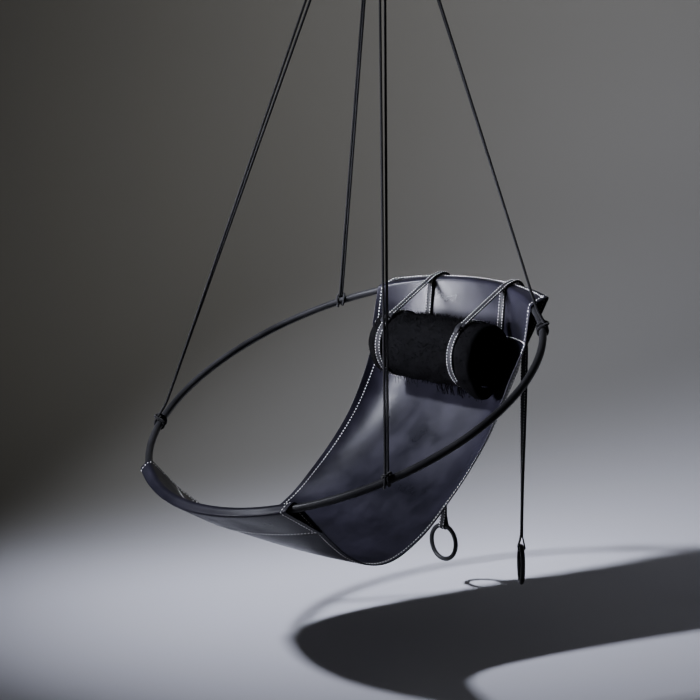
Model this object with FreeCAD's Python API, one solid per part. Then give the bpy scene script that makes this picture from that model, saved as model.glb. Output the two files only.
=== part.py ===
import FreeCAD, Part
import math
import os

V = FreeCAD.Vector

# ---------------------------------------------------------------- driving dimensions (mm)
# Frame: origin on the ceiling face of the mounting plate, +Z up, chair faces -Y.

# ceiling plate, link and swivel
PLATE_R = 55.0
PLATE_T = 8.0
BOLT_PCD = 84.0
BOLT_COUNT = 4
BOLT_HOLE_R = 4.5
LUG_T = 12.0
LUG_R = 15.0
PIN_R = 5.0
PIN_PLAY = 0.05
CHEEK_T = 6.0
CHEEK_GAP = 0.5
PIN1_Z = -30.0
PIN2_Z = -76.0
HOUSING_R = 23.0
HOUSING_TOP_Z = -104.0
HOUSING_BOT_Z = -140.0
CAVITY_R = 19.0
CAP_HOLE_R = 10.05
STUD_R = 10.0
STUD_HEAD_R = 17.0
EYE_Z = -170.0
EYE_R = 20.0
EYE_HOLE_R = 9.0

# top ring that gathers the ropes
TOP_RING_R = 42.0
TOP_BAR_R = 6.0
TOP_RING_Z = -214.4

# hoop
HOOP_R = 500.0
HOOP_TILT = 26.1
HOOP_Y = -106.0
HOOP_DROP = 1330.0
HOOP_TUBE_R = 8.0
HOOP_TUBE_WALL = 4.0
HOOP_WRAP_T = 1.0

# ropes
ROPE_R = 3.0
ROPE_FRONT_ANGLE = -32.3
ROPE_REAR_ANGLE = 43.3
ROPE_PAIR = 3.2
FRONT_TOP_X = 16.0
REAR_TOP_X = 6.4

# sling
LEATHER_T = 3.0
SEAT_HALF_W = 250.0
END_HALF_W = 275.0
POCKET_PLAY = 1.1
EAR_R = 2.0
SEAM_R = 0.2
THREAD_R = 0.8
THREAD_INSET = 10.0

# headrest roll
ROLL_Y = 315.0
ROLL_Z = 63.5
ROLL_R = 82.0
ROLL_CORE_R = 60.0
ROLL_LEN = 360.0
CORE_WALL = 3.0

# straps and counterweight rings
STRAP_W = 20.0
STRAP_T = 3.0
STRAP_GAP = 0.3
STRAP_X = 130.0
DROP_X = 143.0
RING_Z = -500.0
RING_R = 46.5
RING_CORE_R = 5.0
RING_WRAP_T = 1.0
RIGHT_TWIST = -41.0

RING_BOTTOM_Z = TOP_RING_Z - TOP_RING_R
HOOP_Z = RING_BOTTOM_Z - HOOP_DROP
HOOP_C = V(0, HOOP_Y, HOOP_Z)
TILT = math.radians(HOOP_TILT)

# side profile of the sling's two edges and of its middle, from front seam to rear seam,
# measured from the hoop's centre in hoop radii
EDGE_LINE = [(-0.590, -0.500), (-0.500, -0.575), (-0.385, -0.664), (-0.250, -0.724), (-0.100, -0.722),
             (0.080, -0.634), (0.230, -0.510), (0.360, -0.385), (0.475, -0.248), (0.560, -0.105),
             (0.622, 0.020), (0.662, 0.110), (0.690, 0.190)]
MID_LINE = [(-0.722, -0.560), (-0.610, -0.612), (-0.470, -0.670), (-0.310, -0.721), (-0.120, -0.738),
            (0.110, -0.669), (0.320, -0.530), (0.495, -0.375), (0.640, -0.205), (0.745, -0.050),
            (0.800, 0.050), (0.832, 0.130), (0.832, 0.190)]


# ---------------------------------------------------------------- helpers
def box(x0, x1, y0, y1, z0, z1):
    return Part.makeBox(x1 - x0, y1 - y0, z1 - z0, V(x0, y0, z0))


def rod(p, q, r):
    d = q - p
    return Part.makeCylinder(r, d.Length, p, d)


def torus(centre, axis, big, small):
    return Part.makeTorus(big, small, centre, axis)


def turned_torus(centre, axis, big, small, deg):
    """Torus whose seam is turned away from where other solids meet it."""
    solid = torus(centre, axis, big, small)
    solid.rotate(centre, axis, deg)
    return solid


def hoop_point(deg):
    a = math.radians(deg)
    c = math.cos(a) * HOOP_R
    s = math.sin(a) * HOOP_R
    return HOOP_C + V(c, s * math.cos(TILT), s * math.sin(TILT))


def hoop_tangent(deg):
    a = math.radians(deg)
    return V(-math.sin(a), math.cos(a) * math.cos(TILT), math.cos(a) * math.sin(TILT))


def belt(circles, closed):
    """Corner data of a belt that keeps every circle on its right-hand side, in the YZ plane."""
    n = len(circles)
    last = n if closed else n - 1
    pairs = []
    for i in range(last):
        c1, r1 = circles[i]
        c2, r2 = circles[(i + 1) % n]
        dy = c2[0] - c1[0]
        dz = c2[1] - c1[1]
        length = math.hypot(dy, dz)
        turn = math.atan2(dz, dy) + math.acos((r1 - r2) / length)
        ny = math.cos(turn)
        nz = math.sin(turn)
        p = (c1[0] + r1 * ny, c1[1] + r1 * nz)
        q = (c2[0] + r2 * ny, c2[1] + r2 * nz)
        pairs.append((p, q, (ny, nz)))
    return pairs


def arc_mid(circle, n1, n2):
    c, r = circle
    my = n1[0] + n2[0]
    mz = n1[1] + n2[1]
    length = math.hypot(my, mz)
    return (c[0] + r * my / length, c[1] + r * mz / length)


def belt_edges(circles, x, closed):
    pairs = belt(circles, closed)
    n = len(pairs)
    edges = []
    for i in range(n):
        p, q, normal = pairs[i]
        edges.append(Part.makeLine(V(x, p[0], p[1]), V(x, q[0], q[1])))
        if closed or i + 1 < n:
            nxt = pairs[(i + 1) % n]
            m = arc_mid(circles[(i + 1) % len(circles)], normal, nxt[2])
            edges.append(Part.Arc(V(x, q[0], q[1]), V(x, m[0], m[1]), V(x, nxt[0][0], nxt[0][1])).toShape())
    return edges


def grown(circles, step):
    return [(c, r + step) for c, r in circles]


def open_band(circles, x, width, thick):
    """Strap of constant thickness along an open belt; the first and last circles are points."""
    inner = belt_edges(grown(circles, -thick / 2), x - width / 2, False)
    outer = belt_edges(grown(circles, thick / 2), x - width / 2, False)
    a = Part.makeLine(inner[0].Vertexes[0].Point, outer[0].Vertexes[0].Point)
    b = Part.makeLine(inner[-1].Vertexes[-1].Point, outer[-1].Vertexes[-1].Point)
    wire = Part.Wire(Part.__sortEdges__(inner + outer + [a, b]))
    return Part.Face(wire).extrude(V(width, 0, 0))


def from_hoop(y, z):
    return (HOOP_Y + y, HOOP_Z + z)


# ---------------------------------------------------------------- ceiling plate, link, swivel
def tab(z_pin, z_edge, along_x):
    """Rounded plate tab round a pin, its straight side ending at z_edge; thickness LUG_T."""
    h = LUG_T / 2
    low = min(z_pin, z_edge)
    high = max(z_pin, z_edge)
    if along_x:
        body = box(-h, h, -LUG_R, LUG_R, low, high)
        return body.fuse(Part.makeCylinder(LUG_R, LUG_T, V(-h, 0, z_pin), V(1, 0, 0)))
    body = box(-LUG_R, LUG_R, -h, h, low, high)
    return body.fuse(Part.makeCylinder(LUG_R, LUG_T, V(0, -h, z_pin), V(0, 1, 0)))


def cheeks(z_pin, z_floor, along_x):
    """Pair of clevis cheeks hanging from the pin down to z_floor."""
    inner = LUG_T / 2 + CHEEK_GAP
    outer = inner + CHEEK_T
    shapes = []
    for lo, hi in ((-outer, -inner), (inner, outer)):
        if along_x:
            flat = box(lo, hi, -LUG_R, LUG_R, z_floor, z_pin)
            disc = Part.makeCylinder(LUG_R, hi - lo, V(lo, 0, z_pin), V(1, 0, 0))
        else:
            flat = box(-LUG_R, LUG_R, lo, hi, z_floor, z_pin)
            disc = Part.makeCylinder(LUG_R, hi - lo, V(0, lo, z_pin), V(0, 1, 0))
        shapes.append(flat.fuse(disc))
    return shapes[0].fuse(shapes[1])


def pin_rod(z, r, along_x, extra):
    half = LUG_T / 2 + CHEEK_GAP + CHEEK_T + extra
    if along_x:
        return Part.makeCylinder(r, 2 * half, V(-half, 0, z), V(1, 0, 0))
    return Part.makeCylinder(r, 2 * half, V(0, -half, z), V(0, 1, 0))


def ceiling_plate():
    plate = Part.makeCylinder(PLATE_R, PLATE_T, V(0, 0, -PLATE_T))
    plate = plate.fuse(tab(PIN1_Z, -PLATE_T, True))
    plate = plate.cut(pin_rod(PIN1_Z, PIN_R + PIN_PLAY, True, 1))
    for i in range(BOLT_COUNT):
        a = math.radians(45 + 360 / BOLT_COUNT * i)
        x = BOLT_PCD / 2 * math.cos(a)
        y = BOLT_PCD / 2 * math.sin(a)
        plate = plate.cut(Part.makeCylinder(BOLT_HOLE_R, PLATE_T + 2, V(x, y, -PLATE_T - 1)))
    return plate


def swing_link():
    block = box(-LUG_R, LUG_R, -LUG_R, LUG_R, -58, -48)
    link = block.fuse(cheeks(PIN1_Z, -48, True)).fuse(tab(PIN2_Z, -58, False))
    link = link.cut(pin_rod(PIN1_Z, PIN_R, True, 1))
    return link.cut(pin_rod(PIN2_Z, PIN_R + PIN_PLAY, False, 1)).removeSplitter()


def headed_pin(z, along_x):
    pin = pin_rod(z, PIN_R, along_x, 2)
    start = LUG_T / 2 + CHEEK_GAP + CHEEK_T
    for side in (-1, 1):
        if along_x:
            head = Part.makeCylinder(PIN_R + 2.5, 3, V(side * start, 0, z), V(side, 0, 0))
        else:
            head = Part.makeCylinder(PIN_R + 2.5, 3, V(0, side * start, z), V(0, side, 0))
        pin = pin.fuse(head)
    return pin.removeSplitter()


def swivel_housing():
    block = box(-LUG_R, LUG_R, -LUG_R, LUG_R, HOUSING_TOP_Z, -94)
    cup = Part.makeCylinder(HOUSING_R, HOUSING_TOP_Z - HOUSING_BOT_Z, V(0, 0, HOUSING_BOT_Z))
    body = block.fuse(cheeks(PIN2_Z, -94, False)).fuse(cup)
    body = body.cut(Part.makeCylinder(CAVITY_R, 28, V(0, 0, HOUSING_BOT_Z)))
    return body.cut(pin_rod(PIN2_Z, PIN_R, False, 1)).removeSplitter()


def swivel_cap():
    cap = Part.makeCylinder(CAVITY_R, 8, V(0, 0, HOUSING_BOT_Z))
    cap = cap.fuse(Part.makeCylinder(HOUSING_R, 3, V(0, 0, HOUSING_BOT_Z - 3)))
    return cap.cut(Part.makeCylinder(CAP_HOLE_R, 13, V(0, 0, HOUSING_BOT_Z - 4))).removeSplitter()


def swivel_bearing():
    ring = Part.makeCylinder(CAVITY_R - 0.3, 8, V(0, 0, HOUSING_BOT_Z + 8))
    return ring.cut(Part.makeCylinder(CAP_HOLE_R, 8, V(0, 0, HOUSING_BOT_Z + 8)))


def swivel_eye():
    head = Part.makeCylinder(STUD_HEAD_R, 7, V(0, 0, HOUSING_BOT_Z + 16.05))
    shank = Part.makeCylinder(STUD_R, 30, V(0, 0, HOUSING_BOT_Z - 12))
    disc = Part.makeCylinder(EYE_R, 12, V(-6, 0, EYE_Z), V(1, 0, 0))
    neck = Part.makeCone(STUD_R, STUD_R + 3, 6, V(0, 0, HOUSING_BOT_Z - 10), V(0, 0, -1))
    eye = head.fuse(shank).fuse(neck).fuse(disc)
    eye = eye.cut(Part.makeCylinder(EYE_HOLE_R, 40, V(-20, 0, EYE_Z), V(1, 0, 0)))
    return eye.removeSplitter()


def top_ring():
    return torus(V(0, 0, TOP_RING_Z), V(0, 1, 0), TOP_RING_R, TOP_BAR_R)


# ---------------------------------------------------------------- hoop and ropes
def hoop_normal():
    return V(0, -math.sin(TILT), math.cos(TILT))


def hoop_tube():
    solid = torus(HOOP_C, hoop_normal(), HOOP_R, HOOP_TUBE_R)
    return solid.cut(torus(HOOP_C, hoop_normal(), HOOP_R, HOOP_TUBE_R - HOOP_TUBE_WALL))


def hoop_wrap():
    solid = torus(HOOP_C, hoop_normal(), HOOP_R, HOOP_TUBE_R + HOOP_WRAP_T)
    return solid.cut(torus(HOOP_C, hoop_normal(), HOOP_R, HOOP_TUBE_R))


def ring_bar_z(x):
    return TOP_RING_Z - math.sqrt(TOP_RING_R * TOP_RING_R - x * x)


def hoop_hitch(deg, up):
    """Two turns round the hoop and the bight that locks them."""
    c = hoop_point(deg)
    t = hoop_tangent(deg)
    big = HOOP_TUBE_R + HOOP_WRAP_T + ROPE_R + 0.05
    side = t.cross(up)
    side.normalize()
    body = torus(c - t * ROPE_PAIR, t, big, ROPE_R)
    body = body.fuse(torus(c + t * ROPE_PAIR, t, big, ROPE_R))
    at = c + up * (big + 4) + side * 4.2
    body = body.fuse(rod(at - t * 7, at + t * 7, ROPE_R))
    body = body.fuse(Part.makeSphere(ROPE_R, at - t * 7))
    return body.fuse(Part.makeSphere(ROPE_R, at + t * 7))


def rope(side, front):
    deg = ROPE_FRONT_ANGLE if front else ROPE_REAR_ANGLE
    if side < 0:
        deg = 180 - deg
    c = hoop_point(deg)
    t = hoop_tangent(deg) * (1 if side > 0 else -1)
    x = side * (FRONT_TOP_X if front else REAR_TOP_X)
    turn = TOP_BAR_R + ROPE_R + 0.4
    if front:
        tops = [V(x, -turn, ring_bar_z(x)), V(x, turn, ring_bar_z(x))]
    else:
        inner = side * (REAR_TOP_X - ROPE_PAIR)
        outer = side * (REAR_TOP_X + ROPE_PAIR)
        tops = [V(outer, turn, ring_bar_z(outer)), V(inner, turn, ring_bar_z(inner))]
    up = (tops[0] + tops[1]) * 0.5 - c
    up.normalize()
    foot = up * (HOOP_TUBE_R + HOOP_WRAP_T + ROPE_R - 0.8)
    feet = [c - t * (ROPE_PAIR + 0.1) + foot, c + t * (ROPE_PAIR + 0.1) + foot]
    body = hoop_hitch(deg, up)
    for low, high in zip(feet, tops):
        body = body.fuse(rod(low, high, ROPE_R)).fuse(Part.makeSphere(ROPE_R, high))
        if not front:
            body = body.fuse(torus(V(high.x, 0, high.z), V(1, 0, 0), turn, ROPE_R))
    if front:
        body = body.fuse(turned_torus(V(x, 0, ring_bar_z(x)), V(1, 0, 0), turn, ROPE_R, 45))
    return body


# ---------------------------------------------------------------- sling
def hump(u, power):
    return 1 - abs(u) ** power


def line_at(line, s):
    """Point at parameter s (0..1) of a table line, by Catmull-Rom."""
    n = len(line) - 1
    k = min(int(s * n), n - 1)
    f = s * n - k
    p0 = line[max(k - 1, 0)]
    p1 = line[k]
    p2 = line[k + 1]
    p3 = line[min(k + 2, n)]
    out = []
    for i in (0, 1):
        a = 2 * p1[i]
        b = p2[i] - p0[i]
        c = 2 * p0[i] - 5 * p1[i] + 4 * p2[i] - p3[i]
        d = 3 * p1[i] - p0[i] - 3 * p2[i] + p3[i]
        out.append(0.5 * (a + b * f + c * f * f + d * f ** 3))
    return out


def cross_power(s):
    if s < 0.85:
        return 2 + 6 * s / 0.85
    return 8 - 4 * (s - 0.85) / 0.15


def seat_point(u, s):
    e = line_at(EDGE_LINE, s)
    m = line_at(MID_LINE, s)
    g = hump(u, cross_power(s))
    half = SEAT_HALF_W + (END_HALF_W - SEAT_HALF_W) * abs(2 * s - 1) ** 4
    y = (e[0] + g * (m[0] - e[0])) * HOOP_R
    z = (e[1] + g * (m[1] - e[1])) * HOOP_R
    return V(u * half, HOOP_Y + y, HOOP_Z + z)


def seat_normal(u, s):
    h = 0.01
    du = seat_point(min(u + h, 1), s) - seat_point(max(u - h, -1), s)
    ds = seat_point(u, min(s + h, 1)) - seat_point(u, max(s - h, 0))
    n = du.cross(ds)
    n.normalize()
    return n


def seam_trim(s):
    return 0.0135 + 0.966 * s


def seat_surface(offset):
    rows = []
    for j in range(19):
        s = seam_trim(j / 18)
        row = []
        for i in range(17):
            u = math.sin(math.pi / 2 * (i / 8 - 1))
            row.append(seat_point(u, s) + seat_normal(u, s) * offset)
        rows.append(row)
    surface = Part.BSplineSurface()
    surface.interpolate(rows)
    return surface


def border(surface, k):
    u0, u1, v0, v1 = surface.bounds()
    curve = (surface.uIso(u0), surface.uIso(u1), surface.vIso(v0), surface.vIso(v1))[k]
    return curve.toShape()


def sling_seat():
    top = seat_surface(LEATHER_T / 2)
    bottom = seat_surface(-LEATHER_T / 2)
    faces = [top.toShape(), bottom.toShape()]
    for k in range(4):
        faces.append(Part.makeRuledSurface(border(top, k), border(bottom, k)))
    shell = Part.makeShell(faces)
    shell.sewShape()
    solid = Part.Solid(shell)
    if solid.Volume < 0:
        solid.reverse()
    return solid


def pocket_circles(x, front, wall):
    """Hoop, ear and seam circles of the pocket's section at x; wall grows the hull."""
    f = min(abs(x) / END_HALF_W, 1)
    depth = math.sqrt(HOOP_R * HOOP_R - x * x)
    sign = -1 if front else 1
    ear_r = EAR_R + (2.6 * max(0, 1 - f / 0.62) if front else 0)
    hoop = (sign * depth * math.cos(TILT), sign * depth * math.sin(TILT))
    if front:
        reach = 9 + 11 * f * f
        ear = (hoop[0] - 0.96 * reach, hoop[1] - 0.28 * reach * (1 - 0.6 * f))
        seam = seat_profile(x, 0)
    else:
        reach = 17 + 34.6 * f * f
        ear = (hoop[0] + 0.882 * reach, hoop[1] + 0.471 * reach)
        seam = seat_profile(x, 1)
    r = (HOOP_TUBE_R + HOOP_WRAP_T) * HOOP_R / depth + POCKET_PLAY
    circles = [(from_hoop(*hoop), r + wall), (from_hoop(*ear), ear_r + wall), (seam, SEAM_R + wall)]
    if front:
        circles = [circles[2], circles[1], circles[0]]
    return circles


def seat_profile(x, s):
    p = seat_point(max(-1, min(1, x / END_HALF_W)), s)
    return (p.y, p.z)


def pocket_wire(x, front, wall):
    return Part.Wire(belt_edges(pocket_circles(x, front, wall), x, True))


def pocket(front):
    xs = [END_HALF_W * k / 7 for k in range(-7, 8)]
    outer = Part.makeLoft([pocket_wire(x, front, LEATHER_T) for x in xs], True, True)
    xs[0] -= 1
    xs[-1] += 1
    inner = Part.makeLoft([pocket_wire(x, front, 0) for x in xs], True, True)
    return outer.cut(inner)


def thread_along(curve, first, last):
    """Round thread along part of a curve lying just above the leather."""
    edge = curve.toShape(first, last)
    start = curve.value(first)
    circle = Part.Wire(Part.Circle(start, curve.tangent(first)[0], THREAD_R).toShape())
    return Part.Wire(edge).makePipeShell([circle], True, False)


def thread_surface():
    return seat_surface(LEATHER_T / 2 + THREAD_R + 0.3)


def edge_thread(side):
    surface = thread_surface()
    u = side * (1 - THREAD_INSET / SEAT_HALF_W)
    middle = surface.parameter(seat_point(u, 0.5))
    curve = surface.vIso(middle[1])
    span = curve.LastParameter - curve.FirstParameter
    return thread_along(curve, curve.FirstParameter + 0.02 * span, curve.LastParameter - 0.02 * span)


def seam_thread(s):
    surface = thread_surface()
    middle = surface.parameter(seat_point(0, s))
    curve = surface.uIso(middle[0])
    span = curve.LastParameter - curve.FirstParameter
    return thread_along(curve, curve.FirstParameter + 0.06 * span, curve.LastParameter - 0.06 * span)


# ---------------------------------------------------------------- headrest roll
def roll_axis():
    y, z = from_hoop(ROLL_Y, ROLL_Z)
    return V(-ROLL_LEN / 2, y, z)


def headrest_core():
    at = roll_axis() + V(10, 0, 0)
    body = Part.makeCylinder(ROLL_CORE_R, ROLL_LEN - 20, at, V(1, 0, 0))
    return body.cut(Part.makeCylinder(ROLL_CORE_R - CORE_WALL, ROLL_LEN - 20, at, V(1, 0, 0)))


def headrest_blanket():
    body = Part.makeCylinder(ROLL_R, ROLL_LEN, roll_axis(), V(1, 0, 0))
    rims = [e for e in body.Edges if e.Curve.TypeId == "Part::GeomCircle"]
    body = body.makeFillet(12, rims)
    return body.cut(Part.makeCylinder(ROLL_CORE_R, ROLL_LEN - 20, roll_axis() + V(10, 0, 0), V(1, 0, 0)))


def strap_wrap(side):
    start = roll_axis()
    start.x = side * STRAP_X - STRAP_W / 2
    ring = Part.makeCylinder(ROLL_R + 0.1 + STRAP_T, STRAP_W, start, V(1, 0, 0))
    return ring.cut(Part.makeCylinder(ROLL_R + 0.1, STRAP_W, start, V(1, 0, 0)))


# ---------------------------------------------------------------- straps over the rear pocket
def wrap_circle(step):
    return (from_hoop(ROLL_Y, ROLL_Z), ROLL_R + 0.1 + STRAP_T * 1.5 + 0.1 + step)


def fold_circles(layer):
    """Hoop circles under the strap's two edges and its bulge, for layer 0 (inner) or 1 (outer)."""
    step = STRAP_GAP + STRAP_T / 2 + layer * (STRAP_T + STRAP_GAP)
    hoops = []
    for x in (STRAP_X + STRAP_W / 2 + 1, STRAP_X - STRAP_W / 2 - 1):
        c, r = pocket_circles(x, False, LEATHER_T)[0]
        hoops.append((c, r + step))
    bulge = (from_hoop(458.0, 208.0), 24.0 + step)
    return hoops + [bulge]


def saddle_leg_y(layer):
    c, r = fold_circles(layer)[2]
    return c[0] + r


def strap_saddle(side):
    """Two strands laid over the hoop pocket; they stay with the chair."""
    down = HOOP_Z + 60
    parts = []
    for layer in (0, 1):
        c = fold_circles(layer)
        if layer == 0:
            front = (from_hoop(413.0, 184.0), 0)
        else:
            p, q, n = belt([wrap_circle(0), c[0]], False)[0]
            t = (q[0] - p[0], q[1] - p[1])
            length = math.hypot(*t)
            front = ((q[0] - t[0] / length * 14, q[1] - t[1] / length * 14), 0)
        rear = ((saddle_leg_y(layer), down), 0)
        parts.append(open_band([front] + c + [rear], side * STRAP_X, STRAP_W, STRAP_T))
    return Part.makeCompound(parts)


def strap_front(side):
    """Lit strand from the keeper on the roll up to the saddle's outer layer."""
    p, q, n = belt([wrap_circle(0), fold_circles(1)[0]], False)[0]
    t = (q[0] - p[0], q[1] - p[1])
    length = math.hypot(*t)
    u = (t[0] / length, t[1] / length)
    start = (p[0] - u[0] * 6, p[1] - u[1] * 6)
    end = (q[0] - u[0] * 19, q[1] - u[1] * 19)
    return open_band([(start, 0), (end, 0)], side * STRAP_X, STRAP_W, STRAP_T)


def back_line():
    """Tangent from the roll's rear to a point in front of the saddle's front leg."""
    top = (from_hoop(404.5, 200.0), 0)
    return belt([top, wrap_circle(0)], False)[0]


def strap_back(side):
    p, q, n = back_line()
    t = (q[0] - p[0], q[1] - p[1])
    length = math.hypot(*t)
    end = (q[0] + t[0] / length * 6, q[1] + t[1] / length * 6)
    return open_band([(p, 0), (end, 0)], side * STRAP_X, STRAP_W, STRAP_T)


def strap_keeper(side):
    """Folded keeper that closes the loop on the roll's upper front."""
    p, q, n = belt([wrap_circle(0), fold_circles(1)[0]], False)[0]
    centre = V(side * STRAP_X, p[0], p[1])
    outer = Part.makeBox(STRAP_W + 8, 14, 2 * STRAP_T + 7, V(-STRAP_W / 2 - 4, -7, -STRAP_T * 1.5 - 3.6))
    hole = Part.makeBox(STRAP_W + 1, 16, 2 * STRAP_T + 1, V(-STRAP_W / 2 - 0.5, -8, -STRAP_T * 1.5 - 0.6))
    keeper = outer.cut(hole)
    keeper.rotate(V(0, 0, 0), V(1, 0, 0), math.degrees(math.atan2(q[1] - p[1], q[0] - p[0])))
    keeper.translate(centre)
    return keeper.cut(Part.makeCylinder(ROLL_R + 0.15, ROLL_LEN, roll_axis(), V(1, 0, 0)))


def drop_centre(side):
    return V(side * DROP_X, (saddle_leg_y(0) + saddle_leg_y(1)) / 2, 0)


def drop_section(side, z, spread, twist):
    """Two thin rectangles at height z, spread apart and turned about the strap's own axis."""
    wires = []
    for s in (-1, 1):
        h = STRAP_W / 2
        a = s * spread - STRAP_T / 2
        b = s * spread + STRAP_T / 2
        corners = [V(-h, a, 0), V(h, a, 0), V(h, b, 0), V(-h, b, 0), V(-h, a, 0)]
        wire = Part.makePolygon(corners)
        wire.rotate(V(0, 0, 0), V(0, 0, 1), twist)
        wire.translate(drop_centre(side) + V(0, 0, HOOP_Z + z))
        wires.append(wire)
    return wires


def bar_centre():
    return RING_Z + RING_R


def strap_drop(side):
    """Hanging pair of strands with the loop that carries the ring."""
    twist = RIGHT_TWIST if side > 0 else 0
    wide = (saddle_leg_y(1) - saddle_leg_y(0)) / 2 + STRAP_T + STRAP_GAP
    tight = STRAP_T / 2 + 0.05
    low = bar_centre() + 34
    foot = low + STRAP_T + 0.1
    steps = [(150, wide, 0), (20, wide, 0), (-80, wide * 0.7 + tight * 0.3, twist * 0.15),
             (-200, wide * 0.2 + tight * 0.8, twist * 0.5), (-330, tight, twist * 0.9), (foot, tight, twist)]
    sections = [drop_section(side, z, spread, angle) for z, spread, angle in steps]
    strands = []
    for k in (0, 1):
        strands.append(Part.makeLoft([pair[k] for pair in sections], True, True))
    r = RING_CORE_R + RING_WRAP_T + 1.4
    loop = [((0, bar_centre() - 0.5), r), ((0, low), 0.0)]
    outer = Part.Face(Part.Wire(belt_edges(grown(loop, STRAP_T), -STRAP_W / 2, True)))
    inner = Part.Face(Part.Wire(belt_edges(grown(loop, 0.01), -STRAP_W / 2, True)))
    ring = outer.cut(inner).extrude(V(STRAP_W, 0, 0))
    ring.rotate(V(0, 0, 0), V(0, 0, 1), twist)
    ring.translate(drop_centre(side) + V(0, 0, HOOP_Z))
    return Part.makeCompound(strands + [ring])


def ring_axis(side):
    a = math.radians(RIGHT_TWIST if side > 0 else 0)
    return V(-math.sin(a), math.cos(a), 0)


def weight_core(side):
    return torus(drop_centre(side) + V(0, 0, HOOP_Z + RING_Z), ring_axis(side), RING_R, RING_CORE_R)


def weight_wrap(side):
    at = drop_centre(side) + V(0, 0, HOOP_Z + RING_Z)
    skin = torus(at, ring_axis(side), RING_R, RING_CORE_R + RING_WRAP_T)
    return skin.cut(torus(at, ring_axis(side), RING_R, RING_CORE_R))


# ---------------------------------------------------------------- export
os.makedirs("parts", exist_ok=True)
nodes = {
    "ceiling_plate": ceiling_plate(),
    "upper_pin": headed_pin(PIN1_Z, True),
    "swing_link": swing_link(),
    "lower_pin": headed_pin(PIN2_Z, False),
    "swivel_housing": swivel_housing(),
    "swivel_cap": swivel_cap(),
    "swivel_bearing": swivel_bearing(),
    "swivel_eye": swivel_eye(),
    "top_ring": top_ring(),
    "hoop_tube": hoop_tube(),
    "hoop_wrap": hoop_wrap(),
    "sling_seat": sling_seat(),
    "pocket_front": pocket(True),
    "pocket_rear": pocket(False),
    "thread_left": edge_thread(-1),
    "thread_right": edge_thread(1),
    "thread_front": seam_thread(0.035),
    "thread_rear": seam_thread(0.965),
    "headrest_core": headrest_core(),
    "headrest_blanket": headrest_blanket(),
}
for name, side in (("left", -1), ("right", 1)):
    nodes["rope_front_" + name] = rope(side, True)
    nodes["rope_rear_" + name] = rope(side, False)
    nodes["strap_saddle_" + name] = strap_saddle(side)
    nodes["strap_front_" + name] = strap_front(side)
    nodes["strap_back_" + name] = strap_back(side)
    nodes["strap_wrap_" + name] = strap_wrap(side)
    nodes["strap_keeper_" + name] = strap_keeper(side)
    nodes["strap_drop_" + name] = strap_drop(side)
    nodes["weight_core_" + name] = weight_core(side)
    nodes["weight_wrap_" + name] = weight_wrap(side)
for name, shape in nodes.items():
    print(name, len(shape.Solids), shape.isValid(), round(shape.Volume / 1000, 2))
    shape.exportStep("parts/" + name + ".step")
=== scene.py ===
"""Looks of a leather sling hanging chair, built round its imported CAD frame."""
import math

import bpy
import numpy as np
from mathutils import Matrix, Vector


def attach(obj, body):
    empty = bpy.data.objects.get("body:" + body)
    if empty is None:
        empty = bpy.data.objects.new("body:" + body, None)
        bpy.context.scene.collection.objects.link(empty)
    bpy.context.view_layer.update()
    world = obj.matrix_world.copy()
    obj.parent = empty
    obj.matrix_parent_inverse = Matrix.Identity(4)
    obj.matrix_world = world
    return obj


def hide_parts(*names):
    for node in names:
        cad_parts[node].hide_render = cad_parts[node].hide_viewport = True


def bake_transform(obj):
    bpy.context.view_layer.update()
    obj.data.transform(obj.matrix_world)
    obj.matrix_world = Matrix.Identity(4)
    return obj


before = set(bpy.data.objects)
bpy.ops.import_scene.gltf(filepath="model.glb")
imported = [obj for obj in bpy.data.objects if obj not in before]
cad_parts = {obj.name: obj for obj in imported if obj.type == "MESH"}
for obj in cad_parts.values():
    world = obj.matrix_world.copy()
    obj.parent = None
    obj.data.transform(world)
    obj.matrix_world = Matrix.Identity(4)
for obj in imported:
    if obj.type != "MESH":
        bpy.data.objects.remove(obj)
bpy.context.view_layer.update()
rng = np.random.default_rng(11)

# ---------------------------------------------------------------- sizes, in metres
MM = 0.001
HOOP_R = 0.5
HOOP_C = np.array([0.0, -0.106, -1.5864])
X_AXIS = np.array([1.0, 0, 0])
TILT = math.radians(26.1)
HOOP_BAR = 0.009
LEATHER = 0.003
SEAT_HALF = 0.250
END_HALF = 0.275
ROPE_R = 0.003
TOP_RING_Z = -0.2144
TOP_RING_R = 0.042
ROLL_Y, ROLL_Z, ROLL_R, ROLL_LEN = 0.315, 0.0635, 0.082, 0.360
ROLL_C = HOOP_C + [0, ROLL_Y, ROLL_Z]
STRAP_W, STRAP_T, STRAP_GAP = 0.020, 0.003, 0.0003
STRAP_X, DROP_X = 0.130, 0.143
RING_Z, RING_R, RING_BAR = -0.500, 0.0465, 0.006
RIGHT_TWIST = math.radians(-41)
FLOOR_Z = HOOP_C[2] - 0.63
POCKET_PLAY = 0.0011
STITCH_INSET, STRAP_INSET = 0.009, 0.0028
SIDES = ((-1, "left"), (1, "right"))
# rows of the sheet's grid: the end of the rear pocket's fold, and the seam beside the seat
REAR_FOLD, SEAM_ROW = 23, 48

# the seat's side view at its edges and along its middle, as (y, z) over the hoop's radius
EDGE_LINE = np.array([(-0.590, -0.500), (-0.500, -0.575), (-0.385, -0.664), (-0.250, -0.724),
                      (-0.100, -0.722), (0.080, -0.634), (0.230, -0.510), (0.360, -0.385),
                      (0.475, -0.248), (0.560, -0.105), (0.622, 0.020), (0.662, 0.110),
                      (0.690, 0.190)])
MID_LINE = np.array([(-0.722, -0.560), (-0.610, -0.612), (-0.470, -0.670), (-0.310, -0.721),
                     (-0.120, -0.738), (0.110, -0.669), (0.320, -0.530), (0.495, -0.375),
                     (0.640, -0.205), (0.745, -0.050), (0.800, 0.050), (0.832, 0.130),
                     (0.832, 0.190)])

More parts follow.
